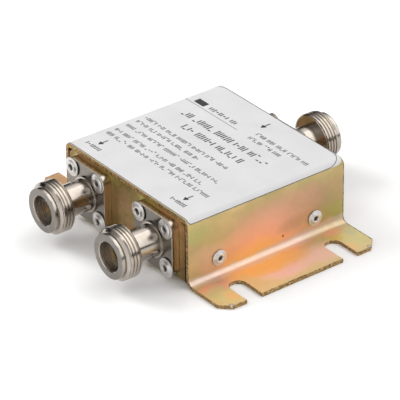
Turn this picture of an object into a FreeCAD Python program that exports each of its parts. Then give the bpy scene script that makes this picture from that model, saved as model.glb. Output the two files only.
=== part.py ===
import FreeCAD, Part
import math
import os

# A two-way coaxial power splitter in a folded sheet housing.
# The origin is the middle of the housing's footprint, on the surface it is mounted to.
# X runs along the output end, -Y points out of the two outputs, +Y out of the input, Z is up.
# All sizes are in millimetres.

# Housing sheets
sheet = 1.2                  # thickness of the cover and of the tray
housing_width = 59.0         # over the two side sheets of the cover
housing_depth = 56.8         # the cover's length from the output end to the input end
top_bend_inside = 1.0        # inside radius where the top turns down into a side
foot_bend_inside = 1.8       # inside radius where a side turns out into a foot
foot_reach = 16.3            # side sheet's outer face to the foot's free edge
foot_corner_cut = 3.2        # leg of the cut across each foot's corner

# Stations along each side: one mounting slot and one rivet at each
station_spacing = 35.0
slot_width = 5.5
slot_round_centre = 8.8      # side sheet's outer face to the centre of the slot's round end

# Tray
tray_end_setback = 0.15      # end wall's outer face behind the cover's edge
tray_side_gap = 0.5          # end wall's edge to the side sheet's inner face
tray_top_gap = 0.2           # end wall's top edge to the underside of the cover's top
tray_bend_inside = 1.0
tray_corner_cut = 1.4        # leg of the cut across each end wall's top corner
tab_overrun = 6.5            # tab's end beyond the last rivet
tab_relief = 0.8             # notch between a tab and the end wall beside it

# Label
label_thickness = 0.15
label_edge_inset = 0.3       # label's edge behind the cover's end edge
label_wrap = 68.0            # degrees that the label follows each top bend
label_corner_radius = 2.4

# Sockets
out_spacing = 32.4           # between the axes of the two outputs
bottom_room = 3.6            # tray's inner face to the axes of the lower rivets
top_room = 3.3               # axes of the upper rivets to the underside of the cover's top
flange_side = 17.8
flange_thickness = 2.6
flange_corner_radius = 2.2
rivet_pitch = 12.7           # side of the square of rivets round a socket
socket_reach = 15.6          # flange's front face to the mouth
barrel_length = 6.2          # threaded barrel with its pilot ring
thread_diameter = 15.875
pilot_diameter = 13.6
pilot_length = 1.3
thread_lead = 1.0            # length of the cone that leads from the pilot onto the thread
neck_diameter = 9.8
collar_diameter = 11.0
collar_length = 0.6
mouth_diameter = 9.3
bore_diameter = 8.1          # bore that takes the mating shell
bore_depth = 9.2
seat_diameter = 7.0          # bore that holds the insulator
fit_clearance = 0.05         # radial, between pieces pushed into each other

# Insulators and centre contacts
insulator_setback = 0.2      # insulator's front face behind the bore's shoulder
insulator_tail_diameter = 5.0
insulator_tail_stand = 0.6   # tail's length past the end wall's inner face
contact_diameter = 3.0
contact_setback = 5.4        # contact's tip behind the mouth
contact_bore_diameter = 1.65
contact_bore_depth = 4.2
contact_slit_width = 0.35
contact_slit_depth = 3.4
contact_shoulder = 2.0       # thick part's end in front of the flange's back face
contact_tail_diameter = 1.3
contact_tail_lap = 3.0       # tail's length over the board
contact_lift = 0.05          # solder film under the tail

# Blind rivets, each one solid with what is left of its pulled stem
end_shank_diameter = 3.2     # the twelve that hold the sockets
end_head_diameter = 6.0
end_head_height = 0.95
end_crown_diameter = 3.2
end_bulb_diameter = 4.6
end_bulb_length = 2.0
side_shank_diameter = 2.4    # the four that hold the cover
side_head_diameter = 5.0
side_head_height = 0.8
side_crown_diameter = 2.6
side_bulb_diameter = 3.5
side_bulb_length = 1.6
rivet_edge_distance = 3.0    # side rivets below the tab's top edge

# Circuit board
board_thickness = 1.0
copper_thickness = 0.1
board_side_gap = 0.3         # board's edge to the side sheet's inner face
board_end_gap = 0.4          # board's edge to the insulator's tail
line_width = 1.9
loop_length = 9.2            # middle line of each loop of the divider, along Y
loop_width = 14.0            # middle line of each loop, along X
loop_line_width = 1.0
loop_count = 3
loop_gap = 1.2               # between the two arms, bridged by the resistors
feed_length = 8.5            # input line before the first loop
resistor_length = 2.2
resistor_width = 1.25
resistor_height = 0.5
resistor_cap = 0.4           # metal end of a resistor
resistor_cap_proud = 0.05    # metal ends stand proud of the ceramic
solder_length = 2.2
solder_cover = 0.25          # solder above the contact's tail
solder_edge_cut = 0.45
seam_leg = 0.5               # solder fillet between board and tab

# Places worked out from the sizes above
half_width = housing_width / 2
half_depth = housing_depth / 2
side_inner = half_width - sheet
half_span = half_width + foot_reach
wall_outer = half_depth - tray_end_setback
wall_inner = wall_outer - sheet
wall_half_width = side_inner - tray_side_gap
socket_height = sheet + bottom_room + rivet_pitch / 2
housing_height = socket_height + rivet_pitch / 2 + top_room + sheet
wall_top = housing_height - sheet - tray_top_gap
tab_half_length = station_spacing / 2 + tab_overrun
line_top = socket_height - contact_tail_diameter / 2 - contact_lift
board_top = line_top - copper_thickness
board_bottom = board_top - board_thickness
tab_top = board_bottom - copper_thickness
side_rivet_height = tab_top - rivet_edge_distance
board_half_width = side_inner - board_side_gap
board_half_depth = wall_inner - insulator_tail_stand - board_end_gap
tail_end = wall_outer - board_half_depth + contact_tail_lap
mouth_height = flange_thickness + socket_reach
top_bend_outside = top_bend_inside + sheet
end_hole_diameter = end_shank_diameter + 2 * fit_clearance
side_hole_diameter = side_shank_diameter + 2 * fit_clearance


def vec(x, y, z):
    return FreeCAD.Vector(x, y, z)


def offset_corners(corners, distance):
    """The corners of a line run at a distance to the right of a line run."""
    moved = []
    directions = []
    for first, second in zip(corners, corners[1:]):
        length = math.dist(first, second)
        directions.append(((second[0] - first[0]) / length, (second[1] - first[1]) / length))
    rights = [(d[1], -d[0]) for d in directions]
    moved.append((corners[0][0] + distance * rights[0][0], corners[0][1] + distance * rights[0][1]))
    for corner, before, after in zip(corners[1:], rights, rights[1:]):
        share = distance / (1 + before[0] * after[0] + before[1] * after[1])
        moved.append((corner[0] + share * (before[0] + after[0]),
                      corner[1] + share * (before[1] + after[1])))
    moved.append((corners[-1][0] + distance * rights[-1][0],
                  corners[-1][1] + distance * rights[-1][1]))
    return moved


def rounded_run(corners, radii, to_space):
    """Edges of a line run whose inner corners are rounded, from its first corner to its last."""
    edges = []
    start = corners[0]
    for before, corner, after, radius in zip(corners, corners[1:], corners[2:], radii):
        back = math.dist(before, corner)
        ahead = math.dist(corner, after)
        u = ((before[0] - corner[0]) / back, (before[1] - corner[1]) / back)
        w = ((after[0] - corner[0]) / ahead, (after[1] - corner[1]) / ahead)
        half_angle = math.acos(u[0] * w[0] + u[1] * w[1]) / 2
        leg = radius / math.tan(half_angle)
        enter = (corner[0] + leg * u[0], corner[1] + leg * u[1])
        leave = (corner[0] + leg * w[0], corner[1] + leg * w[1])
        reach = radius / math.sin(half_angle) - radius
        length = math.hypot(u[0] + w[0], u[1] + w[1])
        middle = (corner[0] + reach * (u[0] + w[0]) / length,
                  corner[1] + reach * (u[1] + w[1]) / length)
        edges.append(Part.LineSegment(to_space(*start), to_space(*enter)).toShape())
        edges.append(Part.Arc(to_space(*enter), to_space(*middle), to_space(*leave)).toShape())
        start = leave
    edges.append(Part.LineSegment(to_space(*start), to_space(*corners[-1])).toShape())
    return edges


def folded_sheet(corners, inside_radii, to_space, sweep):
    """A sheet folded along a line run: its face is on the run and its metal on the run's right."""
    face_radii = []
    back_radii = []
    for before, corner, after, inside in zip(corners, corners[1:], corners[2:], inside_radii):
        turn = ((corner[0] - before[0]) * (after[1] - corner[1])
                - (corner[1] - before[1]) * (after[0] - corner[0]))
        face_radii.append(inside if turn > 0 else inside + sheet)
        back_radii.append(inside + sheet if turn > 0 else inside)
    back = offset_corners(corners, sheet)
    edges = rounded_run(corners, face_radii, to_space)
    edges.append(Part.LineSegment(to_space(*corners[-1]), to_space(*back[-1])).toShape())
    edges += rounded_run(back[::-1], back_radii[::-1], to_space)
    edges.append(Part.LineSegment(to_space(*back[0]), to_space(*corners[0])).toShape())
    outline = Part.Wire(Part.__sortEdges__(edges))
    return Part.Face(outline).extrude(sweep)


def box(x_low, x_high, y_low, y_high, z_low, z_high):
    return Part.makeBox(x_high - x_low, y_high - y_low, z_high - z_low, vec(x_low, y_low, z_low))


def turned(profile):
    """A body turned about the Z axis from a closed profile of (radius, height) points."""
    points = [vec(radius, 0, height) for radius, height in profile]
    outline = Part.makePolygon(points + [points[0]])
    return Part.Face(outline).revolve(vec(0, 0, 0), vec(0, 0, 1), 360)


def rounded_plate(width, depth, thickness, radius):
    """A plate centred on the Z axis, standing on Z = 0, with its upright edges rounded."""
    plate = box(-width / 2, width / 2, -depth / 2, depth / 2, 0, thickness)
    upright = [edge for edge in plate.Edges
               if abs(edge.Vertexes[0].Z - edge.Vertexes[1].Z) > thickness / 2]
    return plate.makeFillet(radius, upright)


def cross_hole(x, z, diameter, y_low, y_high):
    """A rod along Y to cut a hole with."""
    return Part.makeCylinder(diameter / 2, y_high - y_low, vec(x, y_low, z), vec(0, 1, 0))


def side_hole(side, y):
    """A rod along X that cuts a side rivet's hole through the cover and the tab behind it."""
    start = vec(side * (side_inner - 2 * sheet), y, side_rivet_height)
    return Part.makeCylinder(side_hole_diameter / 2, 4 * sheet, start, vec(side, 0, 0))


def rivet_square():
    """Offsets of the four rivets from a socket's axis, as (along the end wall, up)."""
    reach = rivet_pitch / 2
    return [(-reach, reach), (reach, reach), (reach, -reach), (-reach, -reach)]


def side_stations():
    """The four places along the sides that have a rivet and a slot, as (side, y)."""
    reach = station_spacing / 2
    return [(-1, -reach), (-1, reach), (1, -reach), (1, reach)]


# Each socket: its name, its X and the end it points to
sockets = [("out_left", -out_spacing / 2, -1),
           ("out_right", out_spacing / 2, -1),
           ("in", 0.0, 1)]


def mounting_slot(side, y):
    """The open-ended slot that is cut into a foot from its free edge."""
    centre = side * (half_width + slot_round_centre)
    far = side * (half_span + slot_width)
    end = Part.makeCylinder(slot_width / 2, 3 * sheet, vec(centre, y, -sheet))
    way = box(min(centre, far), max(centre, far), y - slot_width / 2, y + slot_width / 2,
              -sheet, 2 * sheet)
    return end.fuse(way)


def foot_corner(side, end):
    """The wedge that is cut off a foot's corner."""
    x = side * half_span
    y = end * half_depth
    over = foot_corner_cut
    points = [vec(x - side * foot_corner_cut, y, -sheet),
              vec(x, y - end * foot_corner_cut, -sheet),
              vec(x + side * over, y + end * over, -sheet)]
    outline = Part.makePolygon(points + [points[0]])
    return Part.Face(outline).extrude(vec(0, 0, 3 * sheet))


def cover():
    """One folded sheet: top, two sides and two slotted feet."""
    corners = [(-half_span, sheet), (-half_width, sheet), (-half_width, housing_height),
               (half_width, housing_height), (half_width, sheet), (half_span, sheet)]
    radii = [foot_bend_inside, top_bend_inside, top_bend_inside, foot_bend_inside]
    shape = folded_sheet(corners, radii, lambda x, z: vec(x, -half_depth, z),
                         vec(0, housing_depth, 0))
    cuts = [mounting_slot(side, y) for side, y in side_stations()]
    cuts += [foot_corner(side, end) for side in (-1, 1) for end in (-1, 1)]
    cuts += [side_hole(side, y) for side, y in side_stations()]
    return shape.cut(cuts)


def tray():
    """One folded sheet: bottom, two end walls and two side tabs that carry the board."""
    end_corners = [(-wall_outer, wall_top), (-wall_outer, 0), (wall_outer, 0),
                   (wall_outer, wall_top)]
    tab_corners = [(-side_inner, tab_top), (-side_inner, 0), (side_inner, 0),
                   (side_inner, tab_top)]
    radii = [tray_bend_inside, tray_bend_inside]
    walls = folded_sheet(end_corners[::-1], radii, lambda y, z: vec(-wall_half_width, y, z),
                         vec(2 * wall_half_width, 0, 0))
    tabs = folded_sheet(tab_corners[::-1], radii, lambda x, z: vec(x, -tab_half_length, z),
                        vec(0, 2 * tab_half_length, 0))
    bend_start = side_inner - sheet - tray_bend_inside
    notch = tab_half_length + tab_relief
    for side in (-1, 1):
        near, far = sorted((side * bend_start, side * (side_inner + sheet)))
        walls = walls.cut(box(near, far, -notch, notch, -sheet, 2 * sheet))
    corner_edges = [edge for edge in walls.Edges
                    if abs(edge.CenterOfMass.z - wall_top) < sheet / 4
                    and abs(abs(edge.CenterOfMass.x) - wall_half_width) < sheet / 4]
    walls = walls.makeChamfer(tray_corner_cut, corner_edges)
    shape = walls.fuse(tabs).removeSplitter()
    cuts = []
    for name, x, end in sockets:
        low, high = sorted((end * (wall_inner - sheet), end * (wall_outer + sheet)))
        tail_hole = insulator_tail_diameter + 2 * fit_clearance
        cuts.append(cross_hole(x, socket_height, tail_hole, low, high))
        for along, up in rivet_square():
            cuts.append(cross_hole(x + along, socket_height + up, end_hole_diameter, low, high))
    cuts += [side_hole(side, y) for side, y in side_stations()]
    return shape.cut(cuts)


def label():
    """A printed sheet on the cover's top, whose two long edges follow the bends."""
    wrap = math.radians(label_wrap)
    centre_x = half_width - top_bend_outside
    centre_z = housing_height - top_bend_outside

    def on_bend(side, radius, angle):
        return vec(side * (centre_x + radius * math.sin(angle)), 0,
                   centre_z + radius * math.cos(angle))

    inner = top_bend_outside
    outer = top_bend_outside + label_thickness
    edges = []
    for radius in (inner, outer):
        for side in (-1, 1):
            edges.append(Part.Arc(on_bend(side, radius, 0), on_bend(side, radius, wrap / 2),
                                  on_bend(side, radius, wrap)).toShape())
        edges.append(Part.LineSegment(on_bend(-1, radius, 0), on_bend(1, radius, 0)).toShape())
    for side in (-1, 1):
        edges.append(Part.LineSegment(on_bend(side, inner, wrap),
                                      on_bend(side, outer, wrap)).toShape())
    reach = half_depth - label_edge_inset
    outline = Part.Wire(Part.__sortEdges__(edges))
    wrapped = Part.Face(outline).extrude(vec(0, 2 * reach, 0))
    wrapped.translate(vec(0, -reach, 0))
    plan_width = 2 * (centre_x + outer * math.sin(wrap))
    plan = rounded_plate(plan_width, 2 * reach, 2 * top_bend_outside, label_corner_radius)
    plan.translate(vec(0, 0, housing_height - 1.5 * top_bend_outside))
    return wrapped.common(plan)


def socket_body():
    """A nickel plated socket standing on its flange's back face, its mouth up."""
    barrel_start = mouth_height - barrel_length
    thread_radius = thread_diameter / 2
    pilot_radius = pilot_diameter / 2
    pilot_start = mouth_height - pilot_length
    mouth_cut = (mouth_diameter - bore_diameter) / 2
    collar_top = flange_thickness + collar_length
    shoulder = mouth_height - bore_depth
    profile = [
        (seat_diameter / 2, 0), (collar_diameter / 2, 0), (collar_diameter / 2, collar_top),
        (neck_diameter / 2, collar_top), (neck_diameter / 2, barrel_start),
        (thread_radius, barrel_start), (thread_radius, pilot_start - thread_lead),
        (pilot_radius, pilot_start), (pilot_radius, mouth_height),
        (mouth_diameter / 2, mouth_height), (bore_diameter / 2, mouth_height - mouth_cut),
        (bore_diameter / 2, shoulder), (seat_diameter / 2, shoulder)]
    flange = rounded_plate(flange_side, flange_side, flange_thickness, flange_corner_radius)
    cuts = [Part.makeCylinder(seat_diameter / 2, flange_thickness)]
    for along, up in rivet_square():
        cuts.append(Part.makeCylinder(end_hole_diameter / 2, flange_thickness,
                                      vec(along, up, 0)))
    return flange.cut(cuts).fuse(turned(profile)).removeSplitter()


def socket_insulator():
    """A stepped fluoropolymer bush: thick in the socket, thin through the end wall."""
    front = mouth_height - bore_depth - insulator_setback
    back = -(sheet + insulator_tail_stand)
    body_radius = seat_diameter / 2 - fit_clearance
    tail_radius = insulator_tail_diameter / 2
    contact_hole = contact_diameter / 2 + fit_clearance
    tail_hole = contact_tail_diameter / 2 + fit_clearance
    return turned([(tail_hole, back), (tail_radius, back), (tail_radius, 0), (body_radius, 0),
                   (body_radius, front), (contact_hole, front),
                   (contact_hole, contact_shoulder), (tail_hole, contact_shoulder)])


def socket_contact():
    """A centre contact: a slit spring socket in front and a solder tail behind."""
    tip = mouth_height - contact_setback
    radius = contact_diameter / 2
    bore = contact_bore_diameter / 2
    tail = contact_tail_diameter / 2
    pin = turned([(0, -tail_end), (tail, -tail_end), (tail, contact_shoulder),
                  (radius, contact_shoulder), (radius, tip), (bore, tip),
                  (bore, tip - contact_bore_depth), (0, tip - contact_bore_depth)])
    half_slit = contact_slit_width / 2
    low = tip - contact_slit_depth
    slits = [box(-radius * 2, radius * 2, -half_slit, half_slit, low, tip + radius),
             box(-half_slit, half_slit, -radius * 2, radius * 2, low, tip + radius)]
    return pin.cut(slits)


def rivet(grip, head, height, crown, shank, bulb, bulb_length):
    """A blind rivet of the given diameters, its head on Z = 0, set through a given grip."""
    end = -grip - bulb_length
    return turned([(0, height), (crown / 2, height), (head / 2, 0), (shank / 2, 0),
                   (shank / 2, -grip), (bulb / 2, -grip), (bulb / 2, end), (0, end)])


def end_rivet():
    return rivet(flange_thickness + sheet, end_head_diameter, end_head_height,
                 end_crown_diameter, end_shank_diameter, end_bulb_diameter, end_bulb_length)


def side_rivet():
    return rivet(2 * sheet, side_head_diameter, side_head_height, side_crown_diameter,
                 side_shank_diameter, side_bulb_diameter, side_bulb_length)


def set_on_end(shape, x, end, height=socket_height, offset=0.0):
    """Move a piece made along Z so that it points out of an end wall."""
    placed = shape.copy()
    placed.rotate(vec(0, 0, 0), vec(1, 0, 0), 90)
    if end > 0:
        placed.rotate(vec(0, 0, 0), vec(0, 0, 1), 180)
    placed.translate(vec(x, end * (wall_outer + offset), height))
    return placed


def set_on_side(shape, side, y):
    """Move a piece made along Z so that it points out of a side sheet, at rivet height."""
    placed = shape.copy()
    placed.rotate(vec(0, 0, 0), vec(0, 1, 0), side * 90)
    placed.translate(vec(side * half_width, y, side_rivet_height))
    return placed


def circuit_board():
    return box(-board_half_width, board_half_width, -board_half_depth, board_half_depth,
               board_bottom, board_top)


def ground_copper():
    return box(-board_half_width, board_half_width, -board_half_depth, board_half_depth,
               tab_top, board_bottom)


def strip(x_low, x_high, y_low, y_high):
    """A straight piece of the copper line on the board's top."""
    return box(x_low, x_high, y_low, y_high, board_top, line_top)


def loop_ends():
    """Y of each cross line of the divider: the split first, then the far end of each loop."""
    first = board_half_depth - feed_length
    return [first - loop_length * step for step in range(loop_count + 1)]


def half_cross(side, y, width, reach):
    """One arm's cross line, from the gap between the arms out to its reach."""
    low, high = sorted((side * loop_gap / 2, side * reach))
    return strip(low, high, y - width / 2, y + width / 2)


def divider_line():
    """The copper line: one feed, three loops split into two arms, and two outputs."""
    half = line_width / 2
    half_loop_line = loop_line_width / 2
    side_line = loop_width / 2
    ends = loop_ends()
    pieces = [strip(-half, half, ends[0] - half_loop_line, board_half_depth)]
    for side in (-1, 1):
        low, high = sorted((side * (side_line - half_loop_line),
                            side * (side_line + half_loop_line)))
        pieces.append(strip(low, high, ends[-1], ends[0] + half_loop_line))
        pieces += [half_cross(side, y, loop_line_width, side_line) for y in ends[:-1]]
        x = side * out_spacing / 2
        pieces.append(half_cross(side, ends[-1], line_width, out_spacing / 2 + half))
        pieces.append(strip(x - half, x + half, -board_half_depth, ends[-1]))
    return pieces[0].fuse(pieces[1:]).removeSplitter()


def resistor(y):
    """A chip resistor across the gap between the two arms."""
    half_length = resistor_length / 2
    half_breadth = resistor_width / 2
    cap_start = half_length - resistor_cap
    lift = line_top + resistor_cap_proud
    top = line_top + resistor_height
    inset = half_breadth - resistor_cap_proud
    chip = box(-half_length, half_length, y - inset, y + inset, lift, top - resistor_cap_proud)
    left = box(-half_length, -cap_start, y - half_breadth, y + half_breadth, line_top, top)
    right = box(cap_start, half_length, y - half_breadth, y + half_breadth, line_top, top)
    return chip.fuse([left, right]).removeSplitter()


def solder_joint(x, end):
    """Solder over a contact's tail on the copper line."""
    half = line_width / 2
    tail_stop = board_half_depth - contact_tail_lap
    low, high = sorted((end * (tail_stop - solder_length / 2), end * (tail_stop + solder_length / 2)))
    top = socket_height + contact_tail_diameter / 2 + solder_cover
    block = box(x - half, x + half, low, high, line_top, top)
    ridge = [edge for edge in block.Edges
             if edge.CenterOfMass.z > top - solder_cover / 2]
    block = block.makeChamfer(solder_edge_cut, ridge)
    return block.cut(cross_tail(x, end))


def cross_tail(x, end):
    """The room that a contact's tail takes in its solder."""
    reach = board_half_depth - contact_tail_lap
    low, high = sorted((end * reach, end * wall_outer))
    return cross_hole(x, socket_height, contact_tail_diameter, low, high)


def ground_seam(side):
    """A solder fillet along the corner between a side tab and the board's underside."""
    corner = side * (side_inner - sheet)
    points = [vec(corner, -tab_half_length, tab_top),
              vec(corner - side * seam_leg, -tab_half_length, tab_top),
              vec(corner, -tab_half_length, tab_top - seam_leg)]
    outline = Part.makePolygon(points + [points[0]])
    return Part.Face(outline).extrude(vec(0, 2 * tab_half_length, 0))


def build():
    """Every piece of the splitter by its name."""
    pieces = {"cover": cover(), "tray": tray(), "label": label(),
              "circuit_board": circuit_board(), "ground_copper": ground_copper(),
              "divider_line": divider_line(),
              "ground_seam_left": ground_seam(-1), "ground_seam_right": ground_seam(1)}
    for number, y in enumerate(loop_ends()[1:], 1):
        pieces[f"isolation_resistor_{number}"] = resistor(y)
    body = socket_body()
    insulator = socket_insulator()
    contact = socket_contact()
    flange_rivet = end_rivet()
    for name, x, end in sockets:
        pieces[f"{name}_socket_body"] = set_on_end(body, x, end)
        pieces[f"{name}_insulator"] = set_on_end(insulator, x, end)
        pieces[f"{name}_contact"] = set_on_end(contact, x, end)
        pieces[f"{name}_solder"] = solder_joint(x, end)
        for number, (along, up) in enumerate(rivet_square(), 1):
            place = (x + along, end, socket_height + up, flange_thickness)
            pieces[f"{name}_rivet_{number}"] = set_on_end(flange_rivet, *place)
    cover_rivet = side_rivet()
    for number, (side, y) in enumerate(side_stations(), 1):
        pieces[f"cover_rivet_{number}"] = set_on_side(cover_rivet, side, y)
    return pieces


os.makedirs("parts", exist_ok=True)
for node, shape in build().items():
    shape.exportStep(f"parts/{node}.step")
    print(node, "solids", len(shape.Solids), "volume", round(shape.Volume, 3),
          "valid", shape.isValid())
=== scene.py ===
import math
import random

import bmesh
import bpy
from mathutils import Matrix, Vector


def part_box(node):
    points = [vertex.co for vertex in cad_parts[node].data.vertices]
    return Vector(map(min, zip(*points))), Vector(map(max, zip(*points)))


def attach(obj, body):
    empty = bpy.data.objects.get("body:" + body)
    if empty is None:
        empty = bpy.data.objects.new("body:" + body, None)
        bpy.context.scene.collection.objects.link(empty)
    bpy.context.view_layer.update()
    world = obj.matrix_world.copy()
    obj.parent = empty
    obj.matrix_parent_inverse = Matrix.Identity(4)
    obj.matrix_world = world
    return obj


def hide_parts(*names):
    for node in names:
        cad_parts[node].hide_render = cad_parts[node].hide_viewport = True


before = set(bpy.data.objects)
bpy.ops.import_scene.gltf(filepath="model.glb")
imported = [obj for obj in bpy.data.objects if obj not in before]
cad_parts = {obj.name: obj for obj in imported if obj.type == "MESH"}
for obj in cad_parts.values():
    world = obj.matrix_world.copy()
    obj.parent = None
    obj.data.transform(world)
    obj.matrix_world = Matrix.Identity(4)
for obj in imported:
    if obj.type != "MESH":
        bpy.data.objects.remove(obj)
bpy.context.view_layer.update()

# A two-way coaxial power splitter in a folded, yellow passivated sheet housing.
# Pieces are shaped in millimetres and placed in metres, as the CAD nodes are.
mm = 0.001


def far_corner(node):
    """The corner of a CAD node's box with the highest X, Y and Z, in millimetres."""
    return [round(value / mm, 3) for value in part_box(node)[1]]


def middle_of(node):
    """The middle of a CAD node's box, in millimetres."""
    return [(low + high) / 2 / mm for low, high in zip(*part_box(node))]


# Housing
foot_edge, cover_half_depth, cover_height = far_corner("cover")
end_wall_face = far_corner("tray")[1]
cover_half_width = 29.5
sheet = 1.2
top_bend_radius = 2.2
foot_flat_start = 2.9        # from a side's outer face to where its foot is flat
tray_bend_top = 2.0
soft_edge = 0.11             # rounding of a cut sheet's edges
edge_slack = 0.1             # allowance in telling cut edges from the sheet's surface
wall_shade = (24.5, 26.5)    # where painted shade darkens the tray's walls towards the cover's sides
seam_start = 27.25           # where the seam's black painted shadow beside the cover's sides begins, at its foot
seam_blur = 0.35
seam_lean = 0.03             # how much further out the seam begins for each millimetre of height
worn_corners = ((foot_edge - 0.6, -25.4), (foot_edge - 0.6, 25.0))    # X and Y on the right foot

# Sockets, standing on the flange's back face
flange_side = 2 * far_corner("in_socket_body")[0]
flange_thickness = 2.6
flange_corner = 2.2
collar_radius = 5.5
collar_top = 3.2
neck_radius = 4.9
barrel_start = 12.0
barrel_core = 7.1
mouth_height = round(far_corner("in_socket_body")[1] - end_wall_face, 3)
pilot_start = 17.05
pilot_radius = 6.8
groove_start = 16.83
groove_radius = 6.74
mouth_radius = 4.75
lead_in_radius = 4.52
lead_in_depth = 0.2
bore_radius = 4.05
bore_taper_depth = 5.0
bore_floor = 9.0
seat_radius = 3.5
turned_edge = 0.09           # rounding of the turned edges
milled_edge = 0.13           # rounding of the flange's edges
inner_edge = 0.05            # rounding of the insulators' and contacts' edges
face_slack = 0.01            # allowance in telling faces apart
bore_finish_radius = 4.54    # faces of the core within it get the bore's nickel, painted brighter as light in the bore
core_set_back = 0.02         # how far the core's back face lies inside the thread's sleeve
thread_radius = 7.93
thread_pitch = 1.0583
thread_depth = 0.42
thread_flank_angle = math.radians(30)
thread_crest_share = 0.4     # share of the pitch that is flat crest
thread_end = 16.85
thread_cone_start = 16.1
thread_cone_slope = 1.35
thread_fade = 15.85          # where the grooves begin to fill up towards the front
thread_fade_length = 0.3
thread_run_out = 0.3
thread_phase = 1.25          # pitches that the helix starts behind the barrel, before it is cut
thread_steps = 96
sleeve_lap = 0.05            # how far the sleeve's inner wall lies inside the core

# Rivets: head radius and height, shank, stem hole and bulb radii, grip, bulb length
end_rivet_sizes = (3.0, 0.95, 1.6, 1.0, 2.3, flange_thickness + 1.2, 2.0)
side_rivet_sizes = (2.5, 0.8, 1.2, 0.78, 1.75, 2.4, 1.6)

# Label
label_half_depth, label_face = far_corner("label")[1:]
label_wrap = math.radians(68)
label_back_corner = 2.4
label_front_corner = 1.3
border_inset = 0.02
border_back_corner = 5.5
border_line = 0.2
print_layer = 0.012

# Rows of print: where each starts and ends along X, and its Y
small_rows = ((-26.0, 12.5, -1.7), (-26.0, 3.1, -4.9), (-26.0, 18.9, -8.6), (-26.0, 14.9, -12.6),
              (-26.0, 22.4, -15.7), (2.5, 25.6, 17.7), (2.5, 17.0, 14.7))
small_dash = (1.6, 0.33)     # height and stroke of a row's dashes
small_seed = 11              # seed of the first row, one more for each that follows
title_rows = ((-21.5, 18.0, 9.1), (-15.0, 12.5, 4.0))
title_dash = (2.7, 0.48)
title_seed = 31
mark_row = (-18.6, -6.6, 16.7)
mark_dash = (1.8, 0.45)
mark_seed = 33
mark_bar = (-25.2, -20.6, 15.5, 17.9)    # X from and to, Y from and to
rule_bar = (-28.0, -3.2, 14.55, 14.75)
output_marks = (-21.7, 19.2)             # X of the marks behind the two outputs
output_dash = (1.7, 0.38)
output_seed = 34
output_row = (-3.2, 3.0)                 # where their dashes start and end, about that X
output_row_y = -23.9
output_arrow_y = -19.9
input_arrow = (0.2, 23.2)

# Camera, as fitted to the photograph
view_azimuth = math.radians(52.917)
view_elevation = math.radians(30.576)
view_roll = math.radians(-0.836)
view_distance = 869.665
view_shift = (-1.3625, 4.4059)           # how far right of and above the origin's line it stands
focal_length = 2955.67                   # in the photograph's pixels
picture_width = 400


def spun(bm, profile, steps=96, closed=False):
    """Spin a run of (radius, height) points a full turn about the Z axis."""
    verts = [bm.verts.new((radius, 0, height)) for radius, height in profile]
    edges = [bm.edges.new(pair) for pair in zip(verts, verts[1:])]
    if closed:
        edges.append(bm.edges.new((verts[-1], verts[0])))
    bmesh.ops.spin(bm, geom=verts + edges, cent=(0, 0, 0), axis=(0, 0, 1), angle=2 * math.pi,
                   steps=steps, use_merge=True)
    bmesh.ops.remove_doubles(bm, verts=bm.verts, dist=1e-5)


def soften(bm, width, angle=35):
    """Round every edge that is sharper than an angle in degrees."""
    sharp = [edge for edge in bm.edges
             if len(edge.link_faces) == 2 and edge.calc_face_angle(0) > math.radians(angle)]
    bmesh.ops.bevel(bm, geom=sharp, offset=width, affect="EDGES", segments=2, profile=0.5,
                    material=-1, clamp_overlap=True)


def piece(bm, name, finishes, nodes=(), place=None, turn_out=True):
    """Make an object of a mesh in its place, with its materials, body and CAD nodes."""
    if turn_out:
        bmesh.ops.recalc_face_normals(bm, faces=bm.faces)
    if place is not None:
        bmesh.ops.transform(bm, matrix=place, verts=bm.verts)
    mesh = bpy.data.meshes.new(name)
    bm.to_mesh(mesh)
    bm.free()
    mesh.shade_smooth()
    mesh.set_sharp_from_angle(angle=math.radians(50))
    made = bpy.data.objects.new(name, mesh)
    bpy.context.scene.collection.objects.link(made)
    for finish in finishes:
        mesh.materials.append(finish)
    even = made.modifiers.new("even shading", "WEIGHTED_NORMAL")
    even.keep_sharp = True
    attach(made, "root")
    if nodes:
        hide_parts(*nodes)


def on_end(x, end, z, offset=0.0):
    """The place of a piece made standing on Z = 0 that points out of an end wall."""
    turn = Matrix.Rotation(math.radians(90), 4, "X")
    if end > 0:
        turn = Matrix.Rotation(math.pi, 4, "Z") @ turn
    shift = Matrix.Translation(Vector((x, end * (end_wall_face + offset), z)))
    return Matrix.Scale(mm, 4) @ shift @ turn


def on_side(side, y, z):
    """The place of a piece made standing on Z = 0 that points out of a side sheet."""
    turn = Matrix.Rotation(math.radians(90 * side), 4, "Y")
    return Matrix.Scale(mm, 4) @ Matrix.Translation(Vector((side * cover_half_width, y, z))) @ turn


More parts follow.
